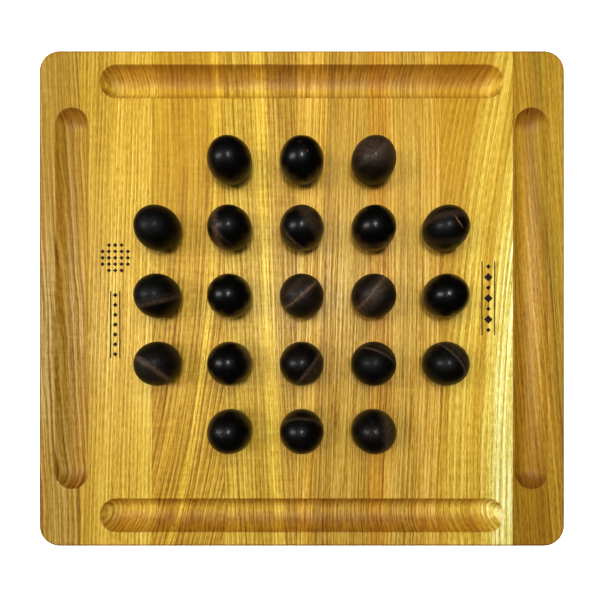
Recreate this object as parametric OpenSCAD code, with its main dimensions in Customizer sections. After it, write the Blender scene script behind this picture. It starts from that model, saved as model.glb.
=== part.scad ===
// Marble solitaire board: an edge-glued hardwood board with a seat for each of its 21 turned balls,
// and one round-bottomed trough along each edge for the balls that have been taken.
// Millimetres. X runs across the staves, Y along them, Z up. The origin is the middle of the underside.

/* [Board] */
// Width of the board, across the staves
board_w = 300; // [290:1:330]
// Depth of the board, along the staves
board_d = 283; // [275:1:320]
// Thickness of the board
board_t = 20; // [18:0.5:28]
// Radius of the board's corners in plan
corner_r = 12; // [6:0.5:20]
// Radius that the top and bottom edges are rounded to
edge_r = 2; // [1:0.25:3]

/* [Staves] */
// Width of the first stave, which is ripped narrower than the others
first_stave_w = 24; // [18:0.5:30]
// Width of each full stave
stave_w = 41; // [39:0.5:42]

/* [Balls and seats] */
// Diameter of a ball
ball_d = 24; // [20:0.5:26]
// Spacing of the seats across the board
pitch_x = 39; // [36:0.5:42]
// Spacing of the seats along the board
pitch_y = 36.7; // [34:0.1:40]
// Radius of the ball-nosed cutter that sinks the seats
seat_cutter_r = 10; // [9:0.5:10]
// Depth of a seat
seat_depth = 4.7; // [3.5:0.1:5.5]
// Outer radius of the ring that the lathe leaves round each pole of a ball
turning_ring_r = 1.9; // [1:0.1:2.5]
// Width of the ring's groove
turning_ring_w = 0.4; // [0.2:0.05:0.6]
// Depth of the ring's groove
turning_ring_depth = 0.2; // [0.1:0.05:0.4]

/* [Troughs] */
// Radius of the ball-nosed cutter that runs the troughs
trough_cutter_r = 9.5; // [8:0.25:10]
// Depth of the troughs
trough_depth = 8; // [6:0.25:9]
// Distance from the middle of the board to the two troughs that cross the staves
cross_trough_y = 123.4; // [120:0.1:125]
// How far the cutter travels along the two troughs that cross the staves
cross_trough_travel = 210.8; // [190:0.2:216]
// Distance from the middle of the board to the two troughs that follow the grain
side_trough_x = 130.8; // [130.6:0.1:132]
// How far the cutter travels along the two troughs that follow the grain
side_trough_travel = 197.8; // [170:0.2:198.6]

/* [Burnt ornaments] */
// Distance from the middle of the board to the two burnt ornaments
ornament_x = 106; // [104:0.5:107]
// Depth that the ornaments are burnt to
ornament_depth = 0.25; // [0.1:0.05:0.4]

/* [Hidden] */
$fn = 96;
overrun = 1;                  // how far a cutter runs past the face that it cuts
lip_r = 0.6;                  // rounding of the lips of the seats and troughs
seating_gap = 0.02;           // air between a seated ball and its lip
ball_r = ball_d / 2;
row_counts = [3, 5, 5, 5, 3]; // balls in each row, from the far edge of the board to the near one
middle = 2;                   // index of the middle row and column
n_staves = 8;

// A ball-nosed cutter leaves an arc, and the lip is a second arc tangent to it and to the top face.
function nose_height(r, depth) = r - depth;
function lip_centre(r, depth) = sqrt(pow(r + lip_r, 2) - pow(nose_height(r, depth) + lip_r, 2));
function lip_foot(r, depth) = nose_height(r, depth)
    - r * (nose_height(r, depth) + lip_r) / (r + lip_r);

// A ball rests on the lip of its seat, so its height follows from where the two round shapes touch.
seat_lip_r = lip_centre(seat_cutter_r, seat_depth);
ball_z = board_t - lip_r + sqrt(pow(ball_r + lip_r, 2) - pow(seat_lip_r, 2)) + seating_gap;

// Left side of each stave, and the right side of the last one.
function seam(i) = i == 0 ? -board_w / 2
    : i == n_staves ? board_w / 2
    : first_stave_w - board_w / 2 + (i - 1) * stave_w;

// Each ball lies as it was dropped in: how far its turned axis leans, and which way, for each row.
ball_aims = [
    [[75, 20], [75, 10], [60, 250]],
    [[56, 46], [70, 140], [40, 118], [24, 180], [65, 70]],
    [[80, 330], [85, 200], [62, 130], [58, 125], [72, 300]],
    [[66, 215], [78, 35], [54, 150], [70, 340], [64, 225]],
    [[12, -131], [29, -11], [68, -99]],
];
stave_colours = ["#b08446", "#d6aa54", "#c9963e", "#dcb45c", "#d3a34a", "#cc9a48", "#e0b95f", "#a87a36"];
ball_colour = "#1d1713";

// Where the seat in a row and column is, with row 0 at the far edge.
function seat_at(row, column) = [(column - middle) * pitch_x, (middle - row) * pitch_y];
function first_column(row) = (5 - row_counts[row]) / 2;

// The section that a ball-nosed cutter leaves below the top face, with its rounded lips, from a left limit.
// X is the distance from the cutter's axis, and Y is the height above the top face.
module cut_section(r, depth, left) {
    lip_x = lip_centre(r, depth);
    low = -depth - overrun;
    difference() {
        translate([left, low]) square([lip_x - left, overrun - low]);
        difference() {
            translate([left - overrun, low - overrun])
                square([lip_x - left + 2 * overrun, overrun - low + lip_foot(r, depth)]);
            translate([0, nose_height(r, depth)]) circle(r);
        }
        for (side = [-1, 1]) translate([side * lip_x, -lip_r]) circle(lip_r);
    }
}

// What a ball-nosed cutter takes out as it travels along X, centred on the origin. A seat has no travel.
module cut_path(r, depth, travel) {
    translate([0, 0, board_t]) {
        if (travel > 0) translate([-travel / 2, 0, 0]) rotate([90, 0, 90]) linear_extrude(travel)
            cut_section(r, depth, -lip_centre(r, depth));
        for (end = [0, 180]) rotate([0, 0, end]) translate([travel / 2, 0, 0]) rotate([0, 0, -90])
            rotate_extrude(angle = 180) cut_section(r, depth, 0);
    }
}

// What a quarter-round edge takes away, in the corner between +X and +Y.
module rounding_section(r) {
    difference() {
        translate([-r, -r]) square(r + overrun);
        translate([-r, -r]) circle(r);
    }
}

// Rounds the top and bottom of an edge that runs along Y at +X.
module edge_cutter(length) {
    translate([0, length / 2, board_t]) rotate([90, 0, 0]) linear_extrude(length)
        rounding_section(edge_r);
    translate([0, -length / 2, 0]) rotate([-90, 0, 0]) linear_extrude(length)
        rounding_section(edge_r);
}

// Rounds a corner of the board in plan, and carries the edge rounding round it. The corner is at +X +Y.
module corner_cutter() {
    translate([-corner_r, -corner_r, 0]) difference() {
        translate([0, 0, -overrun]) cube([corner_r + overrun, corner_r + overrun, board_t + 2 * overrun]);
        rotate_extrude() difference() {
            square([corner_r, board_t]);
            translate([corner_r, board_t]) rounding_section(edge_r);
            translate([corner_r, 0]) mirror([0, 1]) rounding_section(edge_r);
        }
    }
}

// A small square burnt in on its corner.
module burnt_lozenge(width) {
    translate([0, 0, board_t - ornament_depth]) cylinder(d = width, h = ornament_depth + overrun, $fn = 4);
}

// A thin burnt line along Y.
module burnt_line(length, width) {
    translate([-width / 2, -length / 2, board_t - ornament_depth])
        cube([width, length, ornament_depth + overrun]);
}

// The left ornament: the layout of the seats as lozenges, over a banded line.
module layout_ornament() {
    dot = 2.6;
    spacing = 3.6;
    diagram_y = 23;
    line_y = -15;
    line_length = 38;
    for (row = [0:4], i = [0:row_counts[row] - 1])
        translate([(first_column(row) + i - middle) * spacing, diagram_y + (middle - row) * spacing, 0])
            burnt_lozenge(dot);
    for (side = [-1, 1]) translate([side * 2.6, line_y, 0]) burnt_line(line_length, 0.7);
    for (i = [-3:3]) translate([0, line_y + i * 5.6, 0]) burnt_lozenge(2.8);
}

// The right ornament: a row of large lozenges between two lines.
module row_ornament() {
    for (side = [-1, 1]) translate([side * 3.6, 0, 0]) burnt_line(42, 0.7);
    for (i = [-3:3]) translate([0, i * 6, 0]) burnt_lozenge(i % 2 == 0 ? 5 : 2.8);
}

// Everything that is cut from the glued board, less what doesn't reach the stave between two seams.
module board_cuts(left, right) {
    for (side = [-1, 1]) {
        translate([0, side * cross_trough_y, 0]) cut_path(trough_cutter_r, trough_depth, cross_trough_travel);
        reach = lip_centre(trough_cutter_r, trough_depth);
        if (side * side_trough_x + reach > left && side * side_trough_x - reach < right)
            translate([side * side_trough_x, 0, 0]) rotate([0, 0, 90])
                cut_path(trough_cutter_r, trough_depth, side_trough_travel);
    }
    for (row = [0:4], i = [0:row_counts[row] - 1]) {
        at = seat_at(row, first_column(row) + i);
        if (at[0] + seat_lip_r > left && at[0] - seat_lip_r < right)
            translate([at[0], at[1], 0]) cut_path(seat_cutter_r, seat_depth, 0);
    }
}

module board_edges(left, right) {
    for (turn = [0, 180]) rotate([0, 0, turn]) {
        translate([0, board_d / 2, 0]) rotate([0, 0, 90]) edge_cutter(board_w + 2 * overrun);
        if (left == -board_w / 2 && turn == 180 || right == board_w / 2 && turn == 0) {
            translate([board_w / 2, 0, 0]) edge_cutter(board_d + 2 * overrun);
            for (side = [0, 1]) mirror([0, side, 0]) translate([board_w / 2, board_d / 2, 0]) corner_cutter();
        }
    }
}

module stave(i) {
    left = seam(i);
    right = seam(i + 1);
    color(stave_colours[i]) difference() {
        translate([left, -board_d / 2, 0]) cube([right - left, board_d, board_t]);
        board_edges(left, right);
        board_cuts(left, right);
        if (left < -ornament_x && -ornament_x < right) translate([-ornament_x, 0, 0]) layout_ornament();
        if (left < ornament_x && ornament_x < right) translate([ornament_x, 0, 0]) row_ornament();
    }
}

module ball(row, i) {
    at = seat_at(row, first_column(row) + i);
    aim = ball_aims[row][i];
    groove_floor = sqrt(pow(ball_r, 2) - pow(turning_ring_r, 2)) - turning_ring_depth;
    color(ball_colour) translate([at[0], at[1], ball_z])
        rotate([aim[0], 0, aim[1]]) rotate_extrude() difference() {
            intersection() {
                circle(ball_r);
                translate([0, -ball_r]) square([ball_r, ball_d]);
            }
            for (pole = [0, 1]) mirror([0, pole]) translate([turning_ring_r - turning_ring_w, groove_floor])
                square([turning_ring_w, ball_r]);
        }
}

for (i = [0:n_staves - 1])
    stave(i);

for (row = [0:4], i = [0:row_counts[row] - 1]) {
    name = str("ball_r", row + 1, "_c", first_column(row) + i + 1);
    ball(row, i);
}
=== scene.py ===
"""Marble solitaire board: camera, light, and the solid-wood materials of its staves and balls.

Every wood here is a solid one. Its growth rings are drawn in three dimensions round the heart of a log, in
millimetres of the frame. So the lines on the face run on down the walls of the troughs, as in a real board.
"""

import math

import bpy
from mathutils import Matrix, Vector


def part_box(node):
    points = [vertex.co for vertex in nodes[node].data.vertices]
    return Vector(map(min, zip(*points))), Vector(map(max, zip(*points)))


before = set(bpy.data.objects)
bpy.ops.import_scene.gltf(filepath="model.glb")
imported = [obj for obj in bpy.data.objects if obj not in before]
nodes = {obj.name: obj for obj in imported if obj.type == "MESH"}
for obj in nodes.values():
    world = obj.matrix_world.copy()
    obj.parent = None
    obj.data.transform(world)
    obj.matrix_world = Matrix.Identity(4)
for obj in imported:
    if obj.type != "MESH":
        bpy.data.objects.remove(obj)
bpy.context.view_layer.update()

MM = 0.001

STAVES = sorted(name for name in nodes if name.startswith("stave_"))
BALLS = sorted(name for name in nodes if name.startswith("ball_"))

board_high = Vector([max(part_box(s)[1][axis] for s in STAVES) for axis in range(3)])
top_face = board_high.z


# ---------------------------------------------------------------- camera

# A wide lens close above the board. Its height is above the board's face, and its shift is in widths of
# the picture.
CAMERA_X = 1.25 * MM
CAMERA_Y = -27.4 * MM
CAMERA_HEIGHT = 189.4 * MM
CAMERA_LENS = 20.0
CAMERA_SENSOR = 36.0
CAMERA_SHIFT = (-0.0067, 0.0775)
CAMERA_NEAR = 0.01
CAMERA_FAR = 20.0


def add_camera():
    """Looks straight down, so that the picture plane is level."""
    camera = bpy.data.cameras.new("camera")
    camera.lens = CAMERA_LENS
    camera.sensor_width = CAMERA_SENSOR
    camera.shift_x, camera.shift_y = CAMERA_SHIFT
    camera.clip_start = CAMERA_NEAR
    camera.clip_end = CAMERA_FAR
    holder = bpy.data.objects.new("camera", camera)
    holder.location = (CAMERA_X, CAMERA_Y, top_face + CAMERA_HEIGHT)
    bpy.context.scene.collection.objects.link(holder)
    bpy.context.scene.camera = holder


# ---------------------------------------------------------------- light and set

WORLD_COLOUR = (1.0, 0.99, 0.97, 1)
WORLD_STRENGTH = 0.06

SET_WHITE = (0.9, 0.9, 0.9, 1)
SET_GLOW = (1, 1, 1, 1)
SET_ROUGHNESS = 0.9

FLOOR_HALF = 3.0
FLOOR_GLOW = 0.95
BACKDROP_GLOW = 1.0
BACKDROP_RADIUS = 2.9
BACKDROP_HEIGHT = 6.0
BACKDROP_SIDES = 48


def area_light(name, azimuth, elevation, distance, size, power, colour, glossy=True):
    """A soft box that faces the board from an azimuth (0 is +X, 90 is +Y) and an elevation, in degrees."""
    light = bpy.data.lights.new(name, "AREA")
    light.shape = "RECTANGLE"
    light.size, light.size_y = size
    light.energy = power
    light.color = colour
    holder = bpy.data.objects.new(name, light)
    turn, rise = math.radians(azimuth), math.radians(elevation)
    way = Vector((math.cos(turn) * math.cos(rise), math.sin(turn) * math.cos(rise), math.sin(rise)))
    holder.location = Vector((0, 0, top_face)) + way * distance
    holder.rotation_euler = (-way).to_track_quat("-Z", "Y").to_euler()
    holder.visible_camera = False
    holder.visible_glossy = glossy
    bpy.context.scene.collection.objects.link(holder)


def add_light():
    """Two lights that show in the balls' gloss, two that don't, and a faint glow from all round."""
    area_light("window", azimuth=176, elevation=45, distance=1.5, size=(0.36, 0.70), power=8.0,
               colour=(1.0, 0.98, 0.95))
    area_light("lamp", azimuth=80, elevation=84, distance=0.8, size=(0.10, 0.17), power=2.1,
               colour=(0.99, 1.0, 0.97))
    area_light("overhead", azimuth=74, elevation=70, distance=0.26, size=(0.20, 0.16), power=0.39,
               colour=(0.92, 1.0, 0.95), glossy=False)
    area_light("fill", azimuth=268, elevation=35, distance=1.0, size=(0.5, 0.4), power=1.0,
               colour=(0.97, 1.0, 0.95), glossy=False)
    world = bpy.data.worlds.new("studio")
    bpy.context.scene.world = world
    world.use_nodes = True
    background = world.node_tree.nodes["Background"]
    background.inputs["Color"].default_value = WORLD_COLOUR
    background.inputs["Strength"].default_value = WORLD_STRENGTH
    world.cycles_visibility.glossy = False
    bpy.context.scene.view_settings.view_transform = "Standard"


def staging(name, mesh, glow):
    """A white piece of the set, which glows. The balls' gloss doesn't show it."""
    piece = bpy.data.objects.new(name, mesh)
    bpy.context.scene.collection.objects.link(piece)
    piece.visible_glossy = False
    material = bpy.data.materials.new(name)
    material.use_nodes = True
    shader = material.node_tree.nodes["Principled BSDF"]
    shader.inputs["Base Color"].default_value = SET_WHITE
    shader.inputs["Roughness"].default_value = SET_ROUGHNESS
    shader.inputs["Emission Color"].default_value = SET_GLOW
    shader.inputs["Emission Strength"].default_value = glow
    mesh.materials.append(material)
    return piece


def add_floor():
    """A square under the board, wide enough to meet the backdrop."""
    half = FLOOR_HALF
    corners = [(-half, -half, 0), (half, -half, 0), (half, half, 0), (-half, half, 0)]
    mesh = bpy.data.meshes.new("floor")
    mesh.from_pydata(corners, [], [(0, 1, 2, 3)])
    staging("floor", mesh, FLOOR_GLOW)


def add_backdrop():
    """A pale wall all round, which only the camera sees."""
    sides = BACKDROP_SIDES
    turns = [2 * math.pi * i / sides for i in range(sides)]
    ring = [(BACKDROP_RADIUS * math.cos(turn), BACKDROP_RADIUS * math.sin(turn)) for turn in turns]
    corners = [(x, y, z) for z in (0, BACKDROP_HEIGHT) for x, y in ring]
    walls = [(i, (i + 1) % sides, sides + (i + 1) % sides, sides + i) for i in range(sides)]
    mesh = bpy.data.meshes.new("backdrop")
    mesh.from_pydata(corners, [], walls)
    backdrop = staging("backdrop", mesh, BACKDROP_GLOW)
    backdrop.visible_diffuse = False
    backdrop.visible_shadow = False


# ---------------------------------------------------------------- node building

# How far each seed moves a noise, in lumps, and how far it moves the row of random numbers.
NOISE_SHIFT = (3.7, 1.9, 5.3)
CHANCE_SHIFT = 101

# Each piece has seeds of its own, from its first one on.
FIRST_STAVE_SEED = 1
STAVE_SEED_GAP = 10
FIRST_BALL_SEED = 2
BALL_SEED_GAP = 7


def linear(colour):
    """The scene-linear colour of an #rrggbb one."""
    parts = [int(colour[at:at + 2], 16) / 255 for at in (1, 3, 5)]
    return [part / 12.92 if part <= 0.04045 else ((part + 0.055) / 1.055) ** 2.4 for part in parts]


def arithmetic(operation, swapped=False):
    """A method of Value that adds a Math node."""
    def apply(self, other):
        return self.shader.math(operation, *((other, self) if swapped else (self, other)))
    return apply


class Value:
    """A number that varies over a surface. Arithmetic on it adds Math nodes to its material."""
    __add__ = __radd__ = arithmetic("ADD")
    __mul__ = arithmetic("MULTIPLY")
    __sub__ = arithmetic("SUBTRACT")
    __rsub__ = arithmetic("SUBTRACT", swapped=True)
    __truediv__ = arithmetic("DIVIDE")

    def __init__(self, shader, socket):
        self.shader = shader
        self.socket = socket


class Shader:
    """A Principled material, with short calls that add the nodes which feed it."""

    def __init__(self, name):
        self.material = bpy.data.materials.new(name)
        self.material.use_nodes = True
        self.tree = self.material.node_tree
        self.surface = self.tree.nodes["Principled BSDF"]
        self.coordinates = self.tree.nodes.new("ShaderNodeTexCoord")

    def feed(self, socket, value):
        """Links a socket or a Value into a socket, or sets it to a constant."""
        if isinstance(value, Value):
            value = value.socket
        if isinstance(value, bpy.types.NodeSocket):
            self.tree.links.new(value, socket)
        else:
            socket.default_value = value

    def add(self, kind, inputs, **settings):
        """Adds a node, with its settings, and its inputs fed by name or number."""
        made = self.tree.nodes.new(kind)
        for setting, value in settings.items():
            setattr(made, setting, value)
        for key, value in inputs.items():
            self.feed(made.inputs[key], value)
        return made

    def math(self, operation, *values):
        made = self.add("ShaderNodeMath", dict(enumerate(values)), operation=operation)
        return Value(self, made.outputs[0])

    def size_of(self, value):
        """A value without its sign."""
        return self.math("ABSOLUTE", value)

    def split(self, vector):
        made = self.add("ShaderNodeSeparateXYZ", {"Vector": vector})
        return [Value(self, socket) for socket in made.outputs]

    def join(self, x, y, z):
        return self.add("ShaderNodeCombineXYZ", {"X": x, "Y": y, "Z": z}).outputs[0]

    def scale(self, vector, factor):
        """A vector or a colour times a number."""
        made = self.add("ShaderNodeVectorMath", {"Vector": vector, "Scale": factor}, operation="SCALE")
        return made.outputs[0]

    def place(self):
        """X, Y and Z in millimetres of the frame."""
        return self.split(self.scale(self.coordinates.outputs["Object"], 1 / MM))

    def facing(self):
        """The three parts of the surface's normal."""
        return self.split(self.coordinates.outputs["Normal"])

    def noise(self, vector, stretch, seed, detail=2.0, roughness=0.5):
        """Smooth noise from about -1 to 1, whose lumps are about as long as stretch says along each axis."""
        moved = self.add("ShaderNodeMapping", {
            "Vector": vector,
            "Location": tuple(seed * part for part in NOISE_SHIFT),
            "Scale": tuple(1 / length for length in stretch),
        })
        made = self.add("ShaderNodeTexNoise", {
            "Vector": moved.outputs[0],
            "Scale": 1.0,
            "Detail": detail,
            "Roughness": roughness,
        })
        return Value(self, made.outputs[0]) * 2 - 1

    def chance(self, number, seed):
        """A random number from 0 to 1 for each whole number."""
        made = self.add("ShaderNodeTexWhiteNoise", {"W": number + seed * CHANCE_SHIFT}, noise_dimensions="1D")
        return Value(self, made.outputs[0])

    def step(self, value, start, end):
        """0 up to start, 1 from end on, and smooth between them. It falls if end is below start."""
        made = self.add("ShaderNodeMapRange", {"Value": value, "From Min": start, "From Max": end},
                        interpolation_type="SMOOTHSTEP")
        return Value(self, made.outputs[0])

    def bump_at(self, value, middle, half_width):
        """1 where value is at middle, falling smoothly to 0 at half_width from it."""
        return self.step(self.size_of(value - middle), half_width, 0.0)

    def ramp(self, value, stops):
        """A smooth colour ramp through (position, colour) stops."""
        made = self.add("ShaderNodeValToRGB", {"Fac": value})
        band = made.color_ramp
        band.interpolation = "EASE"
        while len(band.elements) < len(stops):
            band.elements.new(1.0)
        for element, (position, colour) in zip(band.elements, stops):
            element.position = position
            element.color = colour
        return made.outputs[0]

    def mix(self, first, second, amount, blend="MIX"):
        made = self.tree.nodes.new("ShaderNodeMix")
        made.data_type = "RGBA"
        made.blend_type = blend
        made.clamp_factor = True
        fed = {"Factor_Float": amount, "A_Color": first, "B_Color": second}
        for socket in made.inputs:
            if socket.identifier in fed:
                self.feed(socket, fed[socket.identifier])
        return next(socket for socket in made.outputs if socket.identifier == "Result_Color")

    def stain(self, colour, tint, amount):
        """A colour multiplied by a tint, as far as amount says, from 0 to 1."""
        return self.mix(colour, tint, amount, "MULTIPLY")

    def finish(self, node_name, colour, roughness, height, relief):
        """Links what was made to the shader, and puts the material on a CAD node. relief is in mm."""
        self.feed(self.surface.inputs["Base Color"], colour)
        self.feed(self.surface.inputs["Roughness"], roughness)
        bump = self.add("ShaderNodeBump", {"Height": height, "Distance": relief * MM, "Strength": 1.0})
        self.feed(self.surface.inputs["Normal"], bump.outputs[0])
        mesh = nodes[node_name].data
        mesh.materials.clear()
        mesh.materials.append(self.material)


# ---------------------------------------------------------------- the staves' wood

# What one stave's wood is, in millimetres, and in PLAIN_WOOD what holds where a stave says nothing else.
# heart is the middle of its log, across and above the middle of the stave's top face. lean and bend say how
# the heart wanders from side to side along the stave. ring is the width of a growth ring, and uneven is how
# much it varies, in rings. wave and wave_length are how far and over what length the grain sways. pale and
# late say how strong the light and the dark side of a ring are, and streaks, fibre and ripple how strong the
# finer marks are. calm is how much quieter they all get towards the far end. tones are (distance from the
# left seam, colour) pairs.
PLAIN_WOOD = dict(
    bend=0.0, uneven=0.8, wave=1.5, wave_length=130, pale=0.5, late=0.5, fibre=1.3, ripple=0.12, calm=0.2,
)

WOODS = {
    "stave_1": dict(
        heart=(-160, 0), lean=-0.05, ring=3.0, wave=2.6, wave_length=70,
        pale=0.8, late=0.9, streaks=2.6, ripple=0.3, calm=0.35,
        tones=[(0, "#b88a38"), (9, "#bb8e3e"), (12, "#bc8a38"), (17, "#be8e38"), (20, "#b88632"),
               (23, "#c6963a")],
    ),
    "stave_2": dict(
        heart=(-150, -40), lean=0.03, ring=2.1, uneven=0.6, wave=1.2,
        pale=0.72, late=0.42, streaks=1.5, calm=0.05,
        tones=[(0, "#cf9e34"), (3, "#daaa40"), (8, "#ca9730"), (13, "#d6a43c"), (18, "#e4b348"),
               (24, "#dcaa40"), (30, "#e1ae42"), (41, "#e8b94e")],
    ),
    "stave_3": dict(
        heart=(-150, 50), lean=0.09, bend=-0.0011, ring=2.7, uneven=1.1, wave=1.8,
        pale=0.55, late=0.7, streaks=2.4, ripple=0.35, calm=0.40,
        tones=[(0, "#d3a032"), (8, "#cc972c"), (22, "#cd972e"), (29, "#cf9a30"), (33, "#eebf48"),
               (36, "#d6a238"), (41, "#cf9c34")],
    ),
    "stave_4": dict(
        heart=(-200, 20), lean=-0.045, ring=2.4, uneven=1.0,
        pale=0.6, streaks=2.15, ripple=0.3, calm=0.08,
        tones=[(0, "#dcad42"), (12, "#cfa038"), (19, "#cc9c36"), (23, "#e6b746"), (27, "#e0b042"),
               (30, "#c89638"), (36, "#bf8e32"), (41, "#bc8a2c")],
    ),
    "stave_5": dict(
        heart=(-200, 0), lean=0.035, ring=2.1,
        late=0.45, streaks=2.85, calm=0.25,
        tones=[(0, "#daa645"), (13, "#d59f3a"), (16, "#b3822e"), (18, "#c49238"), (28, "#c7963a"),
               (41, "#c29034")],
    ),
    "stave_6": dict(
        heart=(-200, 26), lean=0.01, bend=-0.0003, ring=2.3,
        pale=0.6, streaks=2.75, calm=0.33,
        tones=[(0, "#d1962f"), (8, "#c88b2a"), (14, "#d19c3c"), (20, "#c7963e"), (27, "#cf9e44"),
               (34, "#d6a142"), (41, "#dca644")],
    ),
    "stave_7": dict(
        heart=(-120, 24), lean=0.095, bend=0.0008, ring=3.3, uneven=1.1, wave=1.8,
        streaks=1.7,
        tones=[(0, "#c9932a"), (7, "#cf9a32"), (11, "#e2b44a"), (18, "#e8bb50"), (22, "#dfae40"),
               (26, "#d2a036"), (31, "#f3cd68"), (37, "#fde79c")],
    ),
    "stave_8": dict(
        heart=(-60, -30), lean=-0.075, ring=2.6, uneven=1.2, wave=1.6,
        pale=0.35, late=0.4, streaks=1.7,
        tones=[(0, "#a87619"), (8, "#ac781c"), (11, "#b28022"), (15, "#ca9634"), (19, "#bc882e"),
               (22, "#a67a28"), (25, "#b3892c"), (30, "#c49432")],
    ),
}

# What oil does to bare wood, and then what the light and the dark side of a ring, end grain with painted
# shade on the trough walls, glue, and painted shade on the rounded edges do to its colour. Burnt wood is a
# colour of its own.
OIL = (1.02, 1.02, 0.54)
PALE_SIDE = (1.38, 1.70, 4.8, 1)
DARK_SIDE = (0.50, 0.38, 0.05, 1)
# The tint of end grain, and also of the painted shade on the trough walls.
END_GRAIN_AND_WALL_SHADE = (0.68, 0.53, 0.20, 1)
GLUE_LINE = (0.45, 0.32, 0.18, 1)
# The colour of the painted shade on the rounded edges.
EDGE_SHADE = (0.72, 0.62, 0.42, 1)
BURNT = (0.012, 0.006, 0.003, 1)

# How long the lumps of each noise are, in millimetres: across the rings, along the stave, and in depth. The
# drift of the rings goes by their own width.
SWAY_WIDTH = 28
SMALL_SWAY = (8, 70, 8)
PATCH = (14, 110, 14)
WAVER = (3, 60, 3)
STREAK = (0.75, 60, 9)
FIBRE = (0.5, 4.5, 1.6)
PORE = (0.22, 4.5, 0.22)
RIPPLE = (12, 1.6, 12)
NICK = (1.6, 1.6, 1.6)
DRIFT_RINGS = 4
DRIFT_LENGTH = 400

# How strong some of them are, and the levels that a pore and a nick show between.
SMALL_SWAY_SHARE = 0.2
PATCH_STRENGTH = 0.10
PORE_LEVELS = (0.30, 0.62)
NICK_LEVELS = (0.25, 0.5)

# Where the pale side of a ring is and how far it reaches, and where the dark side starts, is full and
# fades. A ring runs from 0 to 1.
PALE_AT = 0.16
PALE_REACH = 0.30
DARK_START = 0.35
DARK_FULL = 0.86
DARK_FADES = 0.90

# Where the figure gets quieter towards the far end, and how far a face has turned to the end of the fibres
# when its end grain, and the painted shade on the trough walls, start to show and show in full.
CALM_REACH = (5, 55)
END_GRAIN_AND_WALL_SHADE_TURN = (0.0, 0.65)

# How wide a glue line is to each side, and how strong it is. Then how wide the rounded edges are, and how
# far out on them and down them the painted shade reaches.
GLUE_REACH = 0.35
GLUE_STRENGTH = 0.7
EDGE_ROUNDING = 2
EDGE_SHADE_OUT = (0.0, 0.8)
EDGE_SHADE_DEPTH = (-1.8, -0.9)

# Where the middles of the burnt ornaments are, how far from them nothing is burnt any more, across and
# along the stave, and how deep the wood starts to be burnt.
ORNAMENT_X = 106
ORNAMENT_WIDTH = (12, 10)
ORNAMENT_LENGTH = (40, 38)
BURNT_DEPTH = (-0.01, -0.12)

WOOD_SPECULAR = 0.36
WOOD_ROUGHNESS = 0.47
WOOD_SMOOTHEST = 0.32
WOOD_RELIEF = 0.07


def oiled(colour):
    """The scene-linear colour that oil gives to bare wood."""
    return [part * factor for part, factor in zip(linear(colour), OIL)] + [1]


def growth(shader, stave, look, seed):
    """A point in mm: x, y, how deep, how far across the rings, and how far across the broad tones."""
    x, y, z = shader.place()
    here = shader.join(x, y, z)
    low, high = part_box(stave)
    middle = (low.x + high.x) / 2 / MM
    heart_x, heart_z = look["heart"]
    deep = z - top_face / MM
    wide = shader.noise(here, (SWAY_WIDTH, look["wave_length"], SWAY_WIDTH), seed) * look["wave"]
    small = shader.noise(here, SMALL_SWAY, seed + 1, detail=1.0) * (look["wave"] * SMALL_SWAY_SHARE)
    from_heart_x = x - (middle + heart_x) - y * look["lean"] - y * y * (look["bend"] / 2)
    from_heart_z = deep - heart_z
    radius = shader.math("SQRT", from_heart_x * from_heart_x + from_heart_z * from_heart_z)
    across = radius - math.hypot(heart_x, heart_z) + wide + small
    band = x - middle - y * look["lean"] - y * y * (look["bend"] / 2) + wide
    return x, y, deep, across, band


def growth_rings(shader, grain, across, look, seed):
    """How pale (above 0) or dark (below 0) a point in its ring is, and how much of it is the dark side's."""
    drift = (look["ring"] * DRIFT_RINGS, DRIFT_LENGTH, DRIFT_LENGTH)
    count = across / look["ring"] + shader.noise(grain, drift, seed + 3) * look["uneven"]
    number = shader.math("FLOOR", count)
    phase = count - number
    # A strong ring has a darker dark side and a fainter pale one.
    strength = shader.chance(number, seed)
    late = shader.step(phase, DARK_START, DARK_FULL) * shader.step(phase, 1.0, DARK_FADES)
    late = late * (0.35 + strength * 0.9)
    pale = shader.bump_at(phase, PALE_AT, PALE_REACH) * (1.2 - strength * 0.7)
    waver = shader.noise(grain, WAVER, seed + 4) * 0.5 + 0.8
    return (pale * look["pale"] - late * look["late"]) * waver, late


def edge_shade_and_nicks(shader, colour, x, y, deep, seed):
    """Darkens the rounded edges of the board all round as painted shade on the round-over, with nicks."""
    out = shader.math("MAXIMUM", shader.size_of(x) - (board_high.x / MM - EDGE_ROUNDING),
                      shader.size_of(y) - (board_high.y / MM - EDGE_ROUNDING))
    edge_shade = shader.step(out, *EDGE_SHADE_OUT) * shader.step(deep, *EDGE_SHADE_DEPTH)
    nicks = shader.step(shader.noise(shader.join(x, y, deep), NICK, seed + 9), *NICK_LEVELS)
    # Painted shade on the rounded edges.
    colour = shader.stain(colour, EDGE_SHADE, edge_shade)
    return shader.stain(colour, END_GRAIN_AND_WALL_SHADE, edge_shade * nicks)


def burnt_in(shader, x, y, deep):
    """How scorched a point is, from 0 to 1: the floor and walls of what is burnt in."""
    inside = shader.step(shader.size_of(shader.size_of(x) - ORNAMENT_X), *ORNAMENT_WIDTH)
    inside = inside * shader.step(shader.size_of(y), *ORNAMENT_LENGTH)
    return inside * shader.step(deep, *BURNT_DEPTH)


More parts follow.
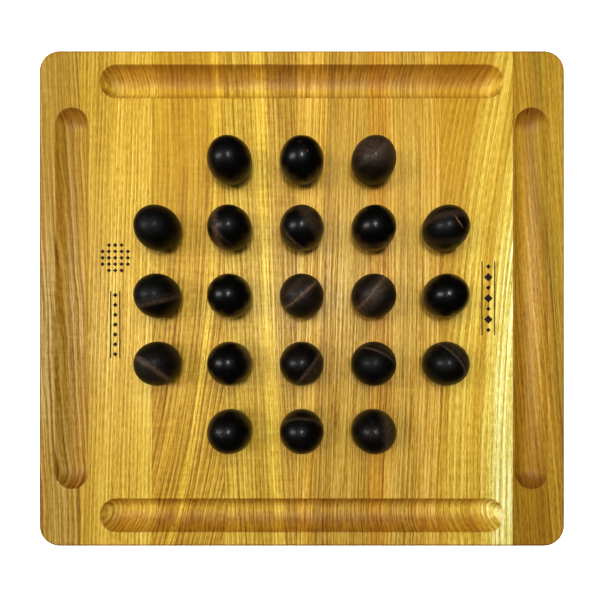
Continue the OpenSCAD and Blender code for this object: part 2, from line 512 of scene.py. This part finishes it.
def stave_wood(stave, seed):
    """Gives a stave its wood, with what glue, hands and burning have done to it."""
    look = {**PLAIN_WOOD, **WOODS[stave]}
    shader = Shader(stave)
    x, y, deep, across, band = growth(shader, stave, look, seed)
    low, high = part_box(stave)
    left, right = low.x / MM, high.x / MM
    width = right - left
    grain = shader.join(across, y, deep)

    # The broad tones across the stave drift with its grain.
    tones = [(place / width, oiled(colour)) for place, colour in look["tones"]]
    colour = shader.ramp((band + width / 2) / width, tones)
    patch = shader.noise(grain, PATCH, seed + 2)
    colour = shader.scale(colour, 1 + patch * PATCH_STRENGTH)

    # Rings of uneven width and strength, thin streaks, short fibres, pores, and a ripple across the grain.
    shade, late = growth_rings(shader, grain, across, look, seed)
    streak = shader.noise(grain, STREAK, seed + 5, detail=3.0, roughness=0.65)
    fibre = shader.noise(grain, FIBRE, seed + 6, roughness=0.65)
    pore = shader.step(shader.noise(grain, PORE, seed + 7, detail=0.0), *PORE_LEVELS)
    ripple = shader.noise(shader.join(x, y, deep), RIPPLE, seed + 8, detail=1.0)
    shade = shade + streak * look["streaks"] + fibre * look["fibre"] - pore * 0.2 + ripple * look["ripple"]
    shade = shade * (1 - shader.step(y, *CALM_REACH) * look["calm"])
    colour = shader.stain(colour, PALE_SIDE, shade)
    colour = shader.stain(colour, DARK_SIDE, shade * -1)

    # End grain, on the walls and edges that cut across the fibres, drinks more oil. This darkening is also
    # painted shade on the walls of the troughs, stronger as they turn.
    end = shader.step(shader.size_of(shader.facing()[1]), *END_GRAIN_AND_WALL_SHADE_TURN)
    colour = shader.stain(colour, END_GRAIN_AND_WALL_SHADE, end)

    # A thin dark line of glue at each seam, and none on the board's two outer sides.
    for seam in (left, right):
        if abs(seam) < board_high.x / MM - GLUE_REACH:
            colour = shader.stain(colour, GLUE_LINE, shader.bump_at(x, seam, GLUE_REACH) * GLUE_STRENGTH)

    # Painted shade on the rounded edges, with nicks.
    colour = edge_shade_and_nicks(shader, colour, x, y, deep, seed)
    if left < -ORNAMENT_X < right or left < ORNAMENT_X < right:
        burnt = burnt_in(shader, x, y, deep)
        colour = shader.mix(colour, BURNT, burnt)
    else:
        burnt = 0.0

    roughness = shader.math("MAXIMUM", WOOD_ROUGHNESS - shade * 0.16, WOOD_SMOOTHEST)
    roughness = roughness + end * 0.12 + burnt * 0.3
    height = fibre * 0.5 - pore * 0.6 - late * 0.25 + ripple * 0.2
    shader.surface.inputs["Specular IOR Level"].default_value = WOOD_SPECULAR
    shader.finish(stave, colour, roughness, height, WOOD_RELIEF)


# ---------------------------------------------------------------- the balls' wood

# What one ball's wood is, and in PLAIN_BALL what holds where a ball says nothing else. Its marks are fixed to
# it, and they are laid out as seen from ONLOOKER, a point in the frame in millimetres: X to the right, Y up
# and Z towards that point. Lengths on a ball are in radii. layers are the heading and tilt that the ball's
# layers of wood face, in degrees. A band is (heading, tilt, how far its middle looks to be off the ball's,
# half its width, strength). tone is how brown the wood between the bands is, streaks is how strong its fine
# grain is, and polish is how sharp its gloss is, from 0 to 1. A speck is where a light dot is, and a crack
# is (heading, how far off the middle, start, end).
ONLOOKER = (0, -27, 210)

PLAIN_BALL = dict(bands=[], tone=0.0, streaks=0.16, specks=[], crack=None)

BALL_LOOKS = {
    "ball_r1_c2": dict(polish=0.6, layers=(200, 10)),
    "ball_r1_c3": dict(polish=0.8, layers=(10, 0), specks=[(-0.08, 0.72), (0.25, 0.38), (0.02, -0.86)]),
    "ball_r1_c4": dict(polish=0.3, layers=(135, 0), tone=0.03, streaks=0.25,
                       bands=[(75, 10, 0.42, 0.80, 0.42), (120, 15, 0.15, 0.16, 0.22)]),
    "ball_r2_c1": dict(polish=0.15, layers=(60, 0)),
    "ball_r2_c2": dict(polish=0.5, layers=(190, 0),
                       bands=[(190, -10, 0.62, 0.28, 0.7), (230, 0, 0.5, 0.1, 0.3)]),
    "ball_r2_c3": dict(polish=0.7, layers=(225, 0),
                       bands=[(225, -15, 0.62, 0.13, 0.7), (225, -15, 0.78, 0.09, 0.4),
                              (35, 0, 0.55, 0.42, 0.40)]),
    "ball_r2_c4": dict(polish=0.8, layers=(280, 0), bands=[(275, -10, 0.7, 0.15, 0.35)]),
    "ball_r2_c5": dict(polish=0.35, layers=(98, -20),
                       bands=[(98, -20, 0.56, 0.24, 0.42), (270, -15, 0.55, 0.26, 0.2)],
                       crack=(30, 0.56, -0.26, 0.41)),
    "ball_r3_c1": dict(polish=0.2, layers=(290, 0),
                       bands=[(288, 0, 0.22, 0.17, 0.6), (288, 0, 0.02, 0.1, 0.2)]),
    "ball_r3_c2": dict(polish=0.8, layers=(200, 0), bands=[(300, -10, 0.75, 0.1, 0.3)]),
    "ball_r3_c3": dict(polish=0.2, layers=(130, 5), tone=0.05, streaks=0.35,
                       bands=[(130, 5, 0.02, 0.10, 1.0), (130, 5, 0.04, 0.30, 0.3),
                              (130, 5, 0.50, 0.3, 0.25)]),
    "ball_r3_c4": dict(polish=0.2, layers=(140, 5), tone=0.05, streaks=0.35,
                       bands=[(140, 5, 0.12, 0.12, 0.7), (140, 5, 0.0, 0.55, 0.4)]),
    "ball_r3_c5": dict(polish=0.9, layers=(60, 0)),
    "ball_r4_c1": dict(polish=0.15, layers=(225, 5), tone=0.02, streaks=0.25,
                       bands=[(232, 5, 0.27, 0.18, 0.9), (232, 5, 0.58, 0.34, 0.12)]),
    "ball_r4_c2": dict(polish=0.8, layers=(20, 0), bands=[(20, -10, 0.76, 0.2, 0.35)]),
    "ball_r4_c3": dict(polish=0.5, layers=(318, 0),
                       bands=[(322, -5, 0.40, 0.13, 0.6), (322, -5, 0.62, 0.34, 0.35)]),
    "ball_r4_c4": dict(polish=0.2, layers=(66, -25),
                       bands=[(66, -25, 0.58, 0.12, 0.55), (66, -25, 0.78, 0.2, 0.3)]),
    "ball_r4_c5": dict(polish=0.35, layers=(41, -24),
                       bands=[(41, -24, 0.53, 0.11, 0.65), (41, -24, 0.72, 0.2, 0.35)]),
    "ball_r5_c2": dict(polish=0.65, layers=(20, 0)),
    "ball_r5_c3": dict(polish=0.6, layers=(90, -25), bands=[(90, -25, 0.52, 0.14, 0.45)]),
    "ball_r5_c4": dict(polish=0.4, layers=(20, 0), streaks=0.3, bands=[(5, -15, 0.62, 0.38, 0.5)]),
}

BALL_BLACK = (0.0010, 0.0009, 0.0010, 1)
BALL_BROWN = (0.115, 0.064, 0.034, 1)
BALL_CRACK = (0.30, 0.13, 0.04, 1)

# How long the lumps of each noise are, in radii: through the layers, along them, and towards the onlooker.
WOBBLE = (0.9, 0.9, 0.9)
FINE_GRAIN = (0.045, 0.7, 0.7)
FLECK = (0.035, 0.12, 0.12)
STROKE = (0.14, 0.045, 0.2)
JAG = (0.12, 0.12, 0.12)
RUB = (0.5, 0.5, 0.5)

# How strong two of them are, and the levels that the fine grain shows between.
WOBBLE_SIZE = 0.05
JAG_SIZE = 0.035
FINE_LEVELS = (0.05, 0.75)

# The squared radii that a speck fades between, and how strong it is. Then half the width of a crack, and
# where the side that faces the onlooker begins: specks and cracks are only there.
SPECK_FADE = (0.0009, 0.0002)
SPECK_STRENGTH = 0.5
CRACK_HALF = 0.03
FRONT = (0.0, 0.1)

BALL_ROUGHNESS = 0.53
BALL_IOR = 1.29
COAT_IOR = 1.4
COAT_WEIGHT = 0.36
COAT_ROUGHNESS = 0.16
BALL_RELIEF = 0.02


def ball_frame(shader, ball):
    """A point on a ball in radii from its middle: to the right, up and towards the onlooker."""
    low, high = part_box(ball)
    middle = (low + high) / 2 / MM
    radius = (high.x - low.x) / 2 / MM
    offset = [(part - centre) / radius for part, centre in zip(shader.place(), middle)]
    towards = (Vector(ONLOOKER) - middle).normalized()
    right = Vector((0, 1, 0)).cross(towards).normalized()
    return [offset[0] * way[0] + offset[1] * way[1] + offset[2] * way[2]
            for way in (right, towards.cross(right), towards)]


def ball_wood(ball, seed):
    """Gives a ball its dark wood, with its bands, specks and cracks."""
    look = {**PLAIN_BALL, **BALL_LOOKS[ball]}
    shader = Shader(ball)
    x, y, z = ball_frame(shader, ball)
    here = shader.join(x, y, z)

    def through(heading, tilt=0):
        """How far a point is along a heading, in radii."""
        turn, rise = math.radians(heading), math.radians(tilt)
        flat = x * (math.cos(turn) * math.cos(rise)) + y * (math.sin(turn) * math.cos(rise))
        return flat + z * math.sin(rise)

    # Fine grain in layers, broken by flecks, and brown bands with strokes across them.
    wobble = shader.noise(here, WOBBLE, seed) * WOBBLE_SIZE
    heading, tilt = look["layers"]
    layered = shader.join(through(heading, tilt) + wobble, through(heading + 90), z)
    fine = shader.noise(layered, FINE_GRAIN, seed + 1, detail=3.0, roughness=0.6)
    flecks = shader.noise(layered, FLECK, seed + 2)
    strokes = shader.noise(layered, STROKE, seed + 5, detail=1.0)
    brown = look["tone"] + shader.step(fine, *FINE_LEVELS) * look["streaks"]
    for heading, tilt, off, half, strength in look["bands"]:
        rise = math.radians(tilt)
        level = off * math.cos(rise) + math.sqrt(1 - off * off) * math.sin(rise)
        band = shader.bump_at(through(heading, tilt) + wobble, level, half)
        brown = brown + band * strength * (0.75 + fine * 0.45 + strokes * 1.1)
    brown = brown * (0.85 + flecks * 0.9)
    colour = shader.mix(BALL_BLACK, BALL_BROWN, brown)

    for speck_x, speck_y in look["specks"]:
        away = shader.math("POWER", x - speck_x, 2) + shader.math("POWER", y - speck_y, 2)
        speck = shader.step(away, *SPECK_FADE) * shader.step(z, *FRONT) * SPECK_STRENGTH
        colour = shader.mix(colour, BALL_CRACK, speck)
    if look["crack"]:
        heading, off, start, end = look["crack"]
        jagged = through(heading) + shader.noise(here, JAG, seed + 3) * JAG_SIZE
        crack = shader.bump_at(jagged, off, CRACK_HALF)
        crack = crack * shader.bump_at(through(heading - 90), (start + end) / 2, (end - start) / 1.6)
        colour = shader.mix(colour, BALL_CRACK, crack * shader.step(z, *FRONT))

    rub = shader.noise(here, RUB, seed + 4, detail=4.0)
    roughness = BALL_ROUGHNESS - 0.22 * look["polish"] + rub * 0.08 + brown * 0.12
    shader.surface.inputs["IOR"].default_value = BALL_IOR
    shader.surface.inputs["Coat IOR"].default_value = COAT_IOR
    shader.surface.inputs["Coat Weight"].default_value = COAT_WEIGHT * look["polish"]
    shader.surface.inputs["Coat Roughness"].default_value = COAT_ROUGHNESS
    shader.finish(ball, colour, roughness, fine * 0.5 + flecks * 0.3, BALL_RELIEF)


add_camera()
add_light()
add_floor()
add_backdrop()
for index, stave in enumerate(STAVES):
    stave_wood(stave, index * STAVE_SEED_GAP + FIRST_STAVE_SEED)
for index, ball in enumerate(BALLS):
    ball_wood(ball, index * BALL_SEED_GAP + FIRST_BALL_SEED)
